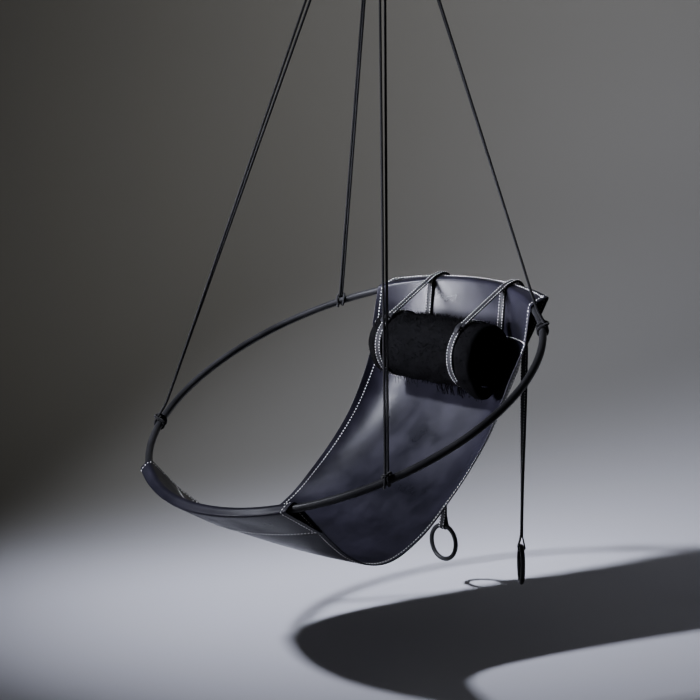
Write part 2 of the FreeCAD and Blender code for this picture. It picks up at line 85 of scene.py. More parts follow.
# ---------------------------------------------------------------- camera
AZ, PITCH, BACK, SIDE, RISE = math.radians(48.94), math.radians(8.85), 4.0, 0.01854, 0.0910
LENS = 85.42
look = Vector((-math.sin(AZ) * math.cos(PITCH), math.cos(AZ) * math.cos(PITCH), -math.sin(PITCH)))
across = look.cross(Vector((0, 0, 1))).normalized()
above = across.cross(look)
camera = bpy.data.objects.new("camera", bpy.data.cameras.new("camera"))
bpy.context.scene.collection.objects.link(camera)
camera.location = Vector(HOOP_C) - look * BACK + across * SIDE + above * RISE
camera.rotation_mode = "QUATERNION"
camera.rotation_quaternion = Matrix((across, above, -look)).transposed().to_quaternion()
camera.data.lens = LENS
camera.data.clip_end = 60
bpy.context.scene.camera = camera


# ---------------------------------------------------------------- nodes and materials
def put(tree, kind, ins=None, **settings):
    """New node with its settings and its inputs, each a value or another node's output."""
    made = tree.nodes.new(kind)
    for key, value in settings.items():
        setattr(made, key, value)
    for key, value in (ins or {}).items():
        if isinstance(value, bpy.types.NodeSocket):
            tree.links.new(value, made.inputs[key])
        else:
            made.inputs[key].default_value = value
    return made


# sockets of the colour mix node: its two colours and its result
MIX_A, MIX_B, MIX_OUT = 6, 7, 2


def maths(tree, op, a, b=0.0):
    return put(tree, "ShaderNodeMath", {0: a, 1: b}, operation=op).outputs[0]


def group(name, ins, outs):
    """Shader node group; ins are (name, kind, default) and outs are (name, kind)."""
    tree = bpy.data.node_groups.new(name, "ShaderNodeTree")
    for label, kind, default in ins:
        made = tree.interface.new_socket(name=label, in_out="INPUT", socket_type=kind)
        if default is not None:
            made.default_value = default
    for label, kind in outs:
        tree.interface.new_socket(name=label, in_out="OUTPUT", socket_type=kind)
    return tree, tree.nodes.new("NodeGroupInput").outputs, tree.nodes.new("NodeGroupOutput").inputs


def make_grain_group():
    """Height of pebbled leather: fine cells, soft noise and creases."""
    tree, given, out = group(
        "leather_grain",
        [("Vector", "NodeSocketVector", None), ("Cell", "NodeSocketFloat", 700.0),
         ("Crease", "NodeSocketFloat", 60.0)],
        [("Height", "NodeSocketFloat")])
    warp = put(tree, "ShaderNodeTexNoise", {"Vector": given["Vector"], "Scale": 220.0, "Detail": 2.0})
    shift = put(tree, "ShaderNodeVectorMath", {0: warp.outputs["Color"], "Scale": 0.0012},
                operation="SCALE")
    moved = put(tree, "ShaderNodeVectorMath", {0: given["Vector"], 1: shift.outputs[0]},
                operation="ADD")
    cells = put(tree, "ShaderNodeTexVoronoi",
                {"Vector": moved.outputs[0], "Scale": given["Cell"]}, feature="F1")
    fine = put(tree, "ShaderNodeTexNoise",
               {"Vector": given["Vector"], "Scale": given["Crease"], "Detail": 6.0,
                "Roughness": 0.62})
    crease = put(tree, "ShaderNodeTexNoise",
                 {"Vector": moved.outputs[0], "Scale": given["Crease"], "Detail": 3.0})
    ridge = maths(tree, "ABSOLUTE", maths(tree, "SUBTRACT", crease.outputs["Fac"], 0.5))
    pebbles = maths(tree, "MULTIPLY", cells.outputs["Distance"], -0.6)
    body = maths(tree, "ADD", pebbles, maths(tree, "MULTIPLY", fine.outputs["Fac"], 0.7))
    tree.links.new(maths(tree, "ADD", body, maths(tree, "MULTIPLY", ridge, 0.5)), out["Height"])
    return tree


def make_cloud_group():
    """Slow patches between two tints, and a roughness that follows them."""
    tree, given, out = group(
        "slow_tint",
        [("Vector", "NodeSocketVector", None), ("Scale", "NodeSocketFloat", 6.0),
         ("Dark", "NodeSocketColor", None), ("Light", "NodeSocketColor", None),
         ("Smooth", "NodeSocketFloat", 0.3), ("Dull", "NodeSocketFloat", 0.5)],
        [("Color", "NodeSocketColor"), ("Roughness", "NodeSocketFloat")])
    cloud = put(tree, "ShaderNodeTexNoise",
                {"Vector": given["Vector"], "Scale": given["Scale"], "Detail": 7.0,
                 "Roughness": 0.55})
    spread = put(tree, "ShaderNodeMapRange",
                 {"Value": cloud.outputs["Fac"], "From Min": 0.32, "From Max": 0.68})
    mix = put(tree, "ShaderNodeMix", {"Factor": spread.outputs[0]}, data_type="RGBA")
    for key, target in (("Dark", MIX_A), ("Light", MIX_B)):
        tree.links.new(given[key], mix.inputs[target])
    rough = put(tree, "ShaderNodeMapRange",
                {"Value": spread.outputs[0], "To Min": given["Smooth"], "To Max": given["Dull"]})
    tree.links.new(mix.outputs[MIX_OUT], out["Color"])
    tree.links.new(rough.outputs[0], out["Roughness"])
    return tree


GRAIN = make_grain_group()
CLOUD = make_cloud_group()


def start_material(name):
    mat = bpy.data.materials.new(name)
    mat.use_nodes = True
    tree = mat.node_tree
    shader = tree.nodes["Principled BSDF"]
    place = tree.nodes.new("ShaderNodeTexCoord").outputs["Object"]
    return mat, tree, shader, place


def tinted(tree, shader, place, scale, dark, light, smooth, dull):
    tint = put(tree, "ShaderNodeGroup", node_tree=CLOUD)
    tree.links.new(place, tint.inputs["Vector"])
    for key, value in (("Scale", scale), ("Dark", (*dark, 1)), ("Light", (*light, 1)),
                       ("Smooth", smooth), ("Dull", dull)):
        tint.inputs[key].default_value = value
    tree.links.new(tint.outputs["Color"], shader.inputs["Base Color"])
    tree.links.new(tint.outputs["Roughness"], shader.inputs["Roughness"])


def raise_bump(tree, shader, height, strength, depth):
    bump = put(tree, "ShaderNodeBump", {"Strength": strength, "Distance": depth, "Height": height})
    tree.links.new(bump.outputs[0], shader.inputs["Normal"])


def leather_material(name, dark, light, smooth, dull, cell, crease, strength, depth):
    """Grained leather between two tints, from smooth to dull."""
    mat, tree, shader, place = start_material(name)
    tinted(tree, shader, place, 9.0, dark, light, smooth, dull)
    grain = put(tree, "ShaderNodeGroup", node_tree=GRAIN)
    tree.links.new(place, grain.inputs["Vector"])
    grain.inputs["Cell"].default_value = cell
    grain.inputs["Crease"].default_value = crease
    raise_bump(tree, shader, grain.outputs["Height"], strength, depth)
    shader.inputs["Specular IOR Level"].default_value = 0.20
    return mat


def cloth_material(name, dark, light, threads, strength, depth, sheen):
    """Cloth, thread or rope: fine fuzz over slow lumps."""
    mat, tree, shader, place = start_material(name)
    tinted(tree, shader, place, 30.0, dark, light, 0.85, 1.0)
    fuzz = put(tree, "ShaderNodeTexNoise",
               {"Vector": place, "Scale": threads, "Detail": 8.0, "Roughness": 0.7})
    lump = put(tree, "ShaderNodeTexNoise",
               {"Vector": place, "Scale": threads * 0.16, "Detail": 4.0})
    lumps = maths(tree, "MULTIPLY", lump.outputs["Fac"], 0.8)
    height = maths(tree, "ADD", fuzz.outputs["Fac"], lumps)
    raise_bump(tree, shader, height, strength, depth)
    shader.inputs["Sheen Weight"].default_value = sheen
    shader.inputs["Sheen Roughness"].default_value = 0.5
    shader.inputs["Specular IOR Level"].default_value = 0.04
    return mat


def metal_material(name, dark, light, smooth, dull, metallic):
    mat, tree, shader, place = start_material(name)
    tinted(tree, shader, place, 40.0, dark, light, smooth, dull)
    grit = put(tree, "ShaderNodeTexNoise", {"Vector": place, "Scale": 900.0, "Detail": 3.0})
    raise_bump(tree, shader, grit.outputs["Fac"], 0.15, 0.0002)
    shader.inputs["Metallic"].default_value = metallic
    return mat


SLING = leather_material(
    "sling_leather", (0.005, 0.005, 0.008), (0.013, 0.012, 0.021),
    0.27, 0.50, 800.0, 55.0, 0.32, 0.0006)
WRAP = leather_material(
    "hoop_leather", (0.008, 0.008, 0.009), (0.018, 0.018, 0.020),
    0.30, 0.46, 900.0, 90.0, 0.35, 0.0005)
STRAP = leather_material(
    "strap_leather", (0.005, 0.005, 0.006), (0.012, 0.012, 0.015),
    0.48, 0.64, 1000.0, 120.0, 0.35, 0.0004)
THREAD = cloth_material(
    "waxed_thread", (0.80, 0.79, 0.78), (0.92, 0.91, 0.90), 2500.0, 0.4, 0.0002, 0.2)
DARK_THREAD = cloth_material(
    "black_thread", (0.02, 0.02, 0.02), (0.05, 0.05, 0.05), 2500.0, 0.4, 0.0002, 0.2)
ROPE = cloth_material(
    "braided_rope", (0.003, 0.003, 0.004), (0.009, 0.009, 0.010), 1500.0, 0.5, 0.0004, 0.15)
BLANKET = cloth_material(
    "wool_blanket", (0.001, 0.001, 0.0012), (0.0035, 0.0035, 0.004), 500.0, 1.0, 0.003, 0.0)
STEEL = metal_material("black_steel", (0.02, 0.02, 0.022), (0.05, 0.05, 0.053), 0.35, 0.5, 0.3)
ZINC = metal_material("zinc_steel", (0.42, 0.42, 0.43), (0.66, 0.66, 0.67), 0.25, 0.42, 1.0)


# ---------------------------------------------------------------- mesh helpers
def add_mesh(name, verts, faces, material, slot, body=None, nodes=()):
    mesh = bpy.data.meshes.new(name)
    mesh.from_pydata([tuple(v) for v in verts], [], [tuple(f) for f in faces])
    mesh.materials.append(material)
    mesh.polygons.foreach_set("use_smooth", [True] * len(mesh.polygons))
    mesh.validate()
    made = bpy.data.objects.new(name, mesh)
    bpy.context.scene.collection.objects.link(made)
    if nodes:
        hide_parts(*nodes)
    if body:
        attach(made, body)
    return made


def unit(v):
    v = np.asarray(v, float)
    return v / np.linalg.norm(v, axis=-1, keepdims=True)


def resample(points, step):
    """Points at equal steps along a smooth Catmull-Rom line through the given ones."""
    p = np.asarray(points, float)
    ends = np.vstack([2 * p[0] - p[1], p, 2 * p[-1] - p[-2]])
    dense = []
    for k in range(1, len(ends) - 2):
        f = np.linspace(0, 1, 24, endpoint=False)[:, None]
        a, b, c, d = ends[k - 1], ends[k], ends[k + 1], ends[k + 2]
        dense.append(0.5 * (2 * b + (c - a) * f + (2 * a - 5 * b + 4 * c - d) * f ** 2
                            + (3 * b - a - 3 * c + d) * f ** 3))
    return evenly(np.vstack(dense + [p[-1:]]), step)


def evenly(points, step):
    p = np.asarray(points, float)
    lengths = np.concatenate([[0], np.cumsum(np.linalg.norm(np.diff(p, axis=0), axis=1))])
    at = np.linspace(0, lengths[-1], max(2, int(round(lengths[-1] / step)) + 1))
    return np.stack([np.interp(at, lengths, p[:, i]) for i in range(3)], 1)


def frames_along(points, hint):
    """Tangent, side and normal at each point, turned as little as possible from hint."""
    tangent = unit(np.gradient(points, axis=0))
    side = unit(np.cross(tangent[0], hint))
    sides = [side]
    for t in tangent[1:]:
        side = unit(side - t * np.dot(side, t))
        sides.append(side)
    sides = np.array(sides)
    return tangent, sides, np.cross(sides, tangent)


def grid_faces(rows, cols, wrap_cols=False):
    faces = []
    for i in range(rows - 1):
        for j in range(cols if wrap_cols else cols - 1):
            a, b = i * cols + j, i * cols + (j + 1) % cols
            faces.append((a, b, b + cols, a + cols))
    return faces


def tube_mesh(points, radius, sides=12, braid=0.0, lay=0.014, hint=(0.31, 0.77, 0.55)):
    """Closed tube along points; braid raises crossing ridges on it."""
    _, side, normal = frames_along(points, np.array(hint))
    angle = np.linspace(0, 2 * math.pi, sides, endpoint=False)
    run = np.concatenate([[0], np.cumsum(np.linalg.norm(np.diff(points, axis=0), axis=1))])
    turn = 2 * math.pi * run[:, None] / lay
    twice = 2 * angle[None]
    crossing = np.abs(np.cos(twice + turn)) * np.abs(np.cos(twice - turn))
    r = radius * (1 - braid + braid * crossing * 2)
    r = np.minimum(r, radius * (1 + braid))
    ring = (side[:, None] * np.cos(angle)[None, :, None]
            + normal[:, None] * np.sin(angle)[None, :, None])
    verts = (points[:, None] + ring * r[..., None]).reshape(-1, 3)
    faces = grid_faces(len(points), sides, wrap_cols=True)
    faces.append(tuple(range(sides))[::-1])
    faces.append(tuple(range(len(verts) - sides, len(verts))))
    return verts, faces


def join_parts(parts):
    verts, faces, base = [], [], 0
    for v, f in parts:
        verts.append(np.asarray(v, float))
        faces += [tuple(i + base for i in face) for face in f]
        base += len(v)
    return np.vstack(verts), faces


# share of a stitch's half length, depth in girths and share of the girth at its five rings
STITCH_ALONG = np.array([-1.0, -0.7, 0.0, 0.7, 1.0])
STITCH_DROP = np.array([-1.6, -0.1, 0.35, -0.1, -1.6])
STITCH_FAT = np.array([0.45, 0.95, 1.0, 0.95, 0.45])


def stitch_row(points, normals, pitch=0.0086, length=0.0052, girth=0.0011):
    """Separate thread stitches along a line, each dipping into the leather at its ends."""
    p = np.asarray(points, float)
    run = np.concatenate([[0], np.cumsum(np.linalg.norm(np.diff(p, axis=0), axis=1))])
    count = int(run[-1] / pitch)
    angle = np.linspace(0, 2 * math.pi, 6, endpoint=False)
    parts = []
    for k in range(count):
        s = (k + 0.5) * pitch
        c = np.array([np.interp(s, run, p[:, i]) for i in range(3)])
        ahead = np.array([np.interp(min(s + pitch / 2, run[-1]), run, p[:, i]) for i in range(3)])
        t = unit(ahead - c)
        n = unit(np.array([np.interp(s, run, normals[:, i]) for i in range(3)]))
        b = np.cross(t, n)
        ring = np.cos(angle)[:, None] * n + np.sin(angle)[:, None] * b
        verts = [c + t * (along * length / 2) + n * (drop * girth) + ring * girth * fat
                 for along, drop, fat in zip(STITCH_ALONG, STITCH_DROP, STITCH_FAT)]
        faces = grid_faces(5, 6, wrap_cols=True) + [(5, 4, 3, 2, 1, 0), (24, 25, 26, 27, 28, 29)]
        parts.append((np.vstack(verts), faces))
    return join_parts(parts)


# ---------------------------------------------------------------- hoop and pocket geometry
def hoop_point(deg):
    a = math.radians(deg)
    rise = np.array([math.cos(a), math.sin(a) * math.cos(TILT), math.sin(a) * math.sin(TILT)])
    return HOOP_C + HOOP_R * rise


def hoop_tangent(deg):
    a = math.radians(deg)
    return np.array([-math.sin(a), math.cos(a) * math.cos(TILT), math.cos(a) * math.sin(TILT)])


def belt(circles, closed):
    """Straight runs of a belt that keeps every circle on its right, as (start, end, normal)."""
    runs = []
    for i in range(len(circles) if closed else len(circles) - 1):
        (c1, r1), (c2, r2) = circles[i], circles[(i + 1) % len(circles)]
        c1, c2 = np.array(c1), np.array(c2)
        d = c2 - c1
        turn = math.atan2(d[1], d[0]) + math.acos((r1 - r2) / np.linalg.norm(d))
        n = np.array([math.cos(turn), math.sin(turn)])
        runs.append((c1 + r1 * n, c2 + r2 * n, n))
    return runs


def arc_points(circle, n1, n2, count):
    a1, a2 = math.atan2(n1[1], n1[0]), math.atan2(n2[1], n2[0])
    while a2 > a1:
        a2 -= 2 * math.pi
    angles = np.linspace(a1, a2, count)
    centre, radius = circle
    return np.stack([centre[0] + radius * np.cos(angles), centre[1] + radius * np.sin(angles)], 1)


def catmull(line, s):
    n = len(line) - 1
    k = min(int(s * n), n - 1)
    f = s * n - k
    a, b, c, d = line[max(k - 1, 0)], line[k], line[k + 1], line[min(k + 2, n)]
    return 0.5 * (2 * b + (c - a) * f + (2 * a - 5 * b + 4 * c - d) * f * f
                  + (3 * b - a - 3 * c + d) * f ** 3)


def cross_power(s):
    return 2 + 6 * s / 0.85 if s < 0.85 else 8 - 4 * (s - 0.85) / 0.15


def seat_point(u, s):
    e, m = catmull(EDGE_LINE, s), catmull(MID_LINE, s)
    y, z = (e + (1 - abs(u) ** cross_power(s)) * (m - e)) * HOOP_R
    half = SEAT_HALF + (END_HALF - SEAT_HALF) * abs(2 * s - 1) ** 4
    return HOOP_C + np.array([u * half, y, z])


def pocket_circles(x, front, wall):
    """Hoop, ear and seam circles of the pocket's section at x, from the hoop's centre."""
    f = min(abs(x) / END_HALF, 1)
    depth = math.sqrt(HOOP_R ** 2 - x * x)
    sign = -1 if front else 1
    ear_r = 0.002 + (0.0026 * max(0, 1 - f / 0.62) if front else 0) + wall
    hoop = np.array([sign * depth * math.cos(TILT), sign * depth * math.sin(TILT)])
    if front:
        reach = 0.009 + 0.011 * f * f
        ear = hoop + reach * np.array([-0.96, -0.28 * (1 - 0.6 * f)])
    else:
        reach = 0.017 + 0.0346 * f * f
        ear = hoop + reach * np.array([0.882, 0.471])
    seam = seat_point(x / END_HALF, 0 if front else 1)[1:] - HOOP_C[1:]
    hoop_r = HOOP_BAR * HOOP_R / depth + POCKET_PLAY + wall
    circles = [(hoop, hoop_r), (ear, ear_r), (seam, 0.0002 + wall)]
    return circles[::-1] if front else circles


def pocket_path(x, front):
    """Mid line of the folded pocket at x, from the flap's seam over the hoop to the seat's seam."""
    circles = pocket_circles(x, front, LEATHER / 2)
    runs = belt(circles, True)
    arcs = [arc_points(circles[(i + 1) % 3], runs[i][2], runs[(i + 1) % 3][2], 9) for i in range(3)]
    first, second, third = (0, 1, 2) if front else (2, 0, 1)
    parts = [np.linspace(*runs[first][:2], 15)[:-1], arcs[first][:-1],
             np.linspace(*runs[second][:2], 6)[:-1], arcs[second][:-1],
             np.linspace(*runs[third][:2], 15)]
    path = np.vstack(parts)
    return path if front else path[::-1]


def to_row(line, x):
    """Points in the frame of a (y, z) line given from the hoop's centre, at x."""
    line = np.asarray(line, float)
    places = [np.broadcast_to(x, len(line)), line[:, 0] + HOOP_C[1], line[:, 1] + HOOP_C[2]]
    return np.column_stack(places)


def sling_column(u):
    """Mid lines of the sheet at cross position u: its rear pocket, its seat and its front pocket."""
    x = u * END_HALF
    seat = np.array([seat_point(u, s) for s in np.linspace(0.985, 0.015, 76)])
    return to_row(pocket_path(x, False), x), seat, to_row(pocket_path(x, True), x)


def sling_grid(columns):
    """Rows of points over the whole sheet; each column is sampled the same way."""
    cols = []
    for u in columns:
        rear, seat, front = sling_column(u)
        n = len(seat)
        t = np.arange(n) / (n - 1)
        seat = seat + (rear[-1] - seat[0]) * np.clip(1 - t / 0.08, 0, 1)[:, None] ** 2
        seat = seat + (front[-1] - seat[-1]) * np.clip(1 - (1 - t) / 0.08, 0, 1)[:, None] ** 2
        cols.append(np.vstack([rear, seat[1:-1], front[::-1]]))
    return np.array(cols).transpose(1, 0, 2)


def grid_normals(grid):
    dv, du = np.gradient(grid, axis=0), np.gradient(grid, axis=1)
    return unit(np.cross(du, dv))


def soft_noise(points, scale, seed):
    """Smooth pseudo-random height at each point, from a few crossed sine waves."""
    local = np.random.default_rng(seed)
    total = np.zeros(points.shape[:-1])
    for k in range(9):
        wave = unit(local.normal(size=3)) * 2 * math.pi / scale * (0.6 + 0.25 * k)
        total += np.sin(points @ wave + local.uniform(0, 6.28)) / (1 + 0.5 * k)
    return total / 3.2


def make_sling():
    """One leather sheet: the seat, and both ends folded round the hoop."""
    columns = np.sin(np.linspace(-1, 1, 61) * math.pi / 2 * 0.98) / math.sin(math.pi / 2 * 0.98)
    grid = sling_grid(columns)
    normals = grid_normals(grid)
    rows, cols = grid.shape[:2]
    swell = soft_noise(grid, 0.35, 3) * 0.0016 + soft_noise(grid, 0.11, 5) * 0.0005
    across_fade = 1 - np.abs(columns) ** 6
    row = np.arange(rows)
    seat_rows = np.clip((row - 40) / 18, 0, 1) * np.clip((rows - 41 - row) / 14, 0, 1)
    grid = grid + normals * (swell * across_fade[None] * seat_rows[:, None])[..., None]
    sling = add_mesh("sling", grid.reshape(-1, 3), grid_faces(rows, cols), SLING, "leather",
                     nodes=("sling_seat", "pocket_front", "pocket_rear"))
    thick = sling.modifiers.new("hide", "SOLIDIFY")
    thick.thickness = LEATHER
    thick.offset = 0
    thick.use_even_offset = True
    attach(sling, "chair")
    lengths = np.linalg.norm(np.diff(grid[:, cols // 2], axis=0), axis=1).sum()
    return sling, grid, grid_normals(grid), lengths, columns


sling, sheet, sheet_normals, sheet_length, sheet_columns = make_sling()


def sheet_line_across(row, face):
    line, n = sheet[row], sheet_normals[row] * face
    return line + n * LEATHER / 2, n


def sheet_line_along(column_u, face):
    """Line down the whole sheet at a cross position, on one face."""
    pts, nrm = [], []
    for r in range(len(sheet)):
        pts.append([np.interp(column_u, sheet_columns, sheet[r, :, i]) for i in range(3)])
        nrm.append([np.interp(column_u, sheet_columns, sheet_normals[r, :, i]) for i in range(3)])
    n = unit(np.array(nrm)) * face
    return np.array(pts) + n * LEATHER / 2, n


def trimmed(line, keep):
    return line[0][keep:len(line[0]) - keep], line[1][keep:len(line[1]) - keep]


def make_sling_stitches():
    """Thread along both long edges and across both seams and the rear fold."""
    rows = len(sheet)
    inset = 1 - STITCH_INSET / SEAT_HALF
    for side, name in SIDES:
        parts = [stitch_row(*sheet_line_along(side * inset, face)) for face in (1, -1)]
        add_mesh("stitch_edge_" + name, *join_parts(parts), THREAD, "thread", "chair",
                 ("thread_" + name,))
    seams = {"rear": (1, REAR_FOLD, SEAM_ROW), "front": (rows - 2, rows - 1 - SEAM_ROW)}
    for name, picks in seams.items():
        parts = []
        for row in picks:
            for face in (1, -1):
                parts.append(stitch_row(*trimmed(sheet_line_across(row, face), 2)))
        add_mesh("stitch_seam_" + name, *join_parts(parts), THREAD, "thread", "chair",
                 ("thread_" + name,))


make_sling_stitches()


# ---------------------------------------------------------------- ropes
FRONT_HITCH, REAR_HITCH = -32.3, 43.3   # places of the right ropes round the hoop, in degrees
# points of a rope in mm, along the hoop, outward and up: its start, and what follows its turn
HITCH_START = [(0.0, 17.6, 10.6), (5.0, 16.0, 12.2), (9.0, 9.0, 14.2), (9.9, 1.0, 13.2)]
HITCH_END = [(3.3, 11.6, 7.0), (3.2, 9.6, 16.0), (3.2, 6.0, 32.0), (3.2, 2.0, 70.0)]
BAR_TURN = 12.3     # radius in mm of a rope's middle round the leather-covered hoop
RING_TURN = 0.0094  # radius of a rope's middle round the top ring's bar


def bar_z(x):
    """Height of the top ring's lower bar at x."""
    return TOP_RING_Z - math.sqrt(TOP_RING_R ** 2 - x * x)


def rope_loop(side, front):
    """Centre lines of one rope: hitched on the hoop, up to the top ring and back."""
    deg = FRONT_HITCH if front else REAR_HITCH
    deg = deg if side > 0 else 180 - deg
    c = hoop_point(deg)
    t = hoop_tangent(deg) * side
    if front:
        x1 = x2 = side * 0.016
        y1, y2 = -RING_TURN, RING_TURN
    else:
        x1, x2 = side * 0.0096, side * 0.0032
        y1 = y2 = RING_TURN
    top1, top2 = np.array([x1, y1, bar_z(x1)]), np.array([x2, y2, bar_z(x2)])
    up = unit((top1 + top2) / 2 - c)
    m = unit(np.cross(t, up))
    if np.dot(m, c - HOOP_C) < 0:
        m = -m
    out = []
    for sign, top in ((-1, top1), (1, top2)):
        half = list(HITCH_START)
        for a in (240, 210, 180, 150, 120, 90, 60, 30, 0):
            w = 1 - a / 240
            half.append((9.7 - 6.2 * w, BAR_TURN * math.cos(math.radians(a)),
                         -BAR_TURN * math.sin(math.radians(a))))
        half += HITCH_END
        pts = [c + (t * sign * a + m * b + up * d) * MM for a, b, d in half]
        start = pts[-1]
        pts += [start + (top - start) * f for f in (0.1, 0.3, 0.5, 0.7, 0.9, 0.98)]
        out.append(pts)
    left, right = out
    if front:
        over = [np.array([x1, RING_TURN * math.cos(a), bar_z(x1) + RING_TURN * math.sin(a)])
                for a in np.radians([165, 135, 110, 90, 70, 45, 15])]
        return [left + [top1] + over + [top2] + right[::-1]]
    lines = []
    for pts, top in ((left, top1), (right, top2)):
        angles = np.radians([*range(0, 301, 30), 325])
        wrap = [np.array([top[0] + 0.0006 * k, RING_TURN * math.cos(a),
                          top[2] + RING_TURN * math.sin(a)])
                for k, a in enumerate(angles)]
        lines.append(pts + wrap)
    return lines


def make_ropes():
    for front, place in ((True, "front"), (False, "rear")):
        for side, name in SIDES:
            node = f"rope_{place}_{name}"
            parts = []
            for line in rope_loop(side, front):
                parts.append(tube_mesh(resample(line, 0.0024), ROPE_R, 14, braid=0.05, lay=0.016))
            add_mesh(f"braid_{place}_{name}", *join_parts(parts), ROPE, "rope", "chair", (node,))


make_ropes()


# ---------------------------------------------------------------- straps
def ribbon_mesh(points, widths_dir, width, thick):
    """Strap of rounded rectangular section along points; widths_dir is its width direction."""
    tangent = unit(np.gradient(points, axis=0))
    widths_dir = np.broadcast_to(widths_dir, points.shape)
    w = unit(widths_dir - tangent * (widths_dir * tangent).sum(1, keepdims=True))
    n = np.cross(w, tangent)
    a, b, c = width / 2, thick / 2, thick * 0.28
    outline = [(-a, -b + c), (-a + c, -b), (0, -b), (a - c, -b), (a, -b + c),
               (a, b - c), (a - c, b), (0, b * 1.12), (-a + c, b), (-a, b - c)]
    verts = np.stack([points + w * p + n * q for p, q in outline], 1).reshape(-1, 3)
    k = len(outline)
    faces = grid_faces(len(points), k, wrap_cols=True)
    faces.append(tuple(range(k))[::-1])
    faces.append(tuple(range(len(verts) - k, len(verts))))
    return verts, faces, w, n


def strap_stitches(points, w, n, face=1):
    """Two rows of thread along one face of a strap."""
    parts = []
    for s in (-1, 1):
        line = points + w * (s * (STRAP_W / 2 - STRAP_INSET)) + n * (face * STRAP_T / 2 * 1.02)
        parts.append(stitch_row(line, n * face, pitch=0.0074, length=0.0044, girth=0.00085))
    return join_parts(parts)


def wrap_circle():
    return (np.array([ROLL_Y, ROLL_Z]), ROLL_R + 0.0002 + STRAP_T * 1.5)


# bulge of the rear pocket under the straps, in y and z from the hoop's centre
BULGE, BULGE_R = (0.458, 0.208), 0.024


def fold_circles(layer):
    """Hoop circles under the strap's two edges, and its bulge: layer 0 is inner, 1 is outer."""
    step = STRAP_GAP + STRAP_T / 2 + layer * (STRAP_T + STRAP_GAP)
    hoops = []
    for x in (STRAP_X + STRAP_W / 2, STRAP_X - STRAP_W / 2):
        c, r = pocket_circles(x, False, LEATHER)[0]
        hoops.append((c, r + step))
    return hoops + [(np.array(BULGE), BULGE_R + step)]


def open_belt(circles, counts):
    """Points along an open belt; counts holds how many go on each run and each arc in turn."""
    runs = belt(circles, False)
    line = []
    for i, (p, q, n) in enumerate(runs):
        line.append(np.linspace(p, q, counts[2 * i])[:-1])
        if i + 1 < len(runs):
            line.append(arc_points(circles[i + 1], n, runs[i + 1][2], counts[2 * i + 1])[:-1])
    return np.vstack(line + [runs[-1][1][None]])


def leg_end(layer):
    c, r = fold_circles(layer)[2]
    return (np.array([c[0] + r, 0.06]), 0.0)


def drop_y():
    """How far behind the hoop's centre the straps hang, midway between their two layers."""
    return (leg_end(0)[0][0] + leg_end(1)[0][0]) / 2


def strand_line(layer):
    """Side view of a strand from the roll over the pocket's top, and the points to its crest."""
    c, r = wrap_circle()
    circles = [(c, r if layer else -r)] + fold_circles(layer) + [leg_end(layer)]
    line = open_belt(circles, [24, 6, 3, 5, 4, 21, 2])
    start = line[0] - unit(line[1] - line[0]) * 0.006
    return np.vstack([start[None], line]), 24 + 5 + 2 + 4 + 3 + 10


def drop_line(side):
    """Hanging U of the strap: down the outer strand, round the ring's bar and up the inner one."""
    outer, crest = strand_line(1)
    outer_top = outer[crest:-1]
    inner, crest = strand_line(0)
    inner_top = inner[crest:-1]
    mid_y = drop_y()
    bar = RING_Z + RING_R
    near, tight = 0.0017, STRAP_T / 2 + 0.0001
    eye = RING_BAR + 0.0014 + STRAP_T / 2
    levels = [(0.120, near), (0.020, near), (-0.120, near * 0.8 + tight * 0.2), (-0.300, tight),
              (bar + 0.040, tight)]
    out_side = [(mid_y + d, z) for z, d in levels]
    in_side = [(mid_y - d, z) for z, d in levels][::-1]
    around = [(mid_y + eye * math.sin(a), bar - 0.0005 - eye * math.cos(a))
              for a in np.linspace(2.2, -2.2, 15)]
    line = np.vstack([outer_top[:-1], out_side, [(mid_y + 0.0035, bar + 0.022)], around,
                      [(mid_y - 0.0035, bar + 0.022)], in_side, inner_top[::-1][1:]])
    points = resample(to_row(line, 0.0), 0.004)
    z = points[:, 2] - HOOP_C[2]
    f = np.clip((0.02 - z) / 0.36, 0, 1)
    f = f * f * (3 - 2 * f)
    twist = (RIGHT_TWIST if side > 0 else 0.0) * f
    g = np.clip((0.20 - z) / 0.14, 0, 1)
    x0 = side * (STRAP_X + (DROP_X - STRAP_X) * g)
    off = points[:, 1] - (mid_y + HOOP_C[1])
    placed = points.copy()
    placed[:, 0] = x0 - off * np.sin(twist)
    placed[:, 1] = mid_y + HOOP_C[1] + off * np.cos(twist)
    width_dir = np.column_stack([np.cos(twist), np.sin(twist), np.zeros(len(z))])
    return placed, width_dir


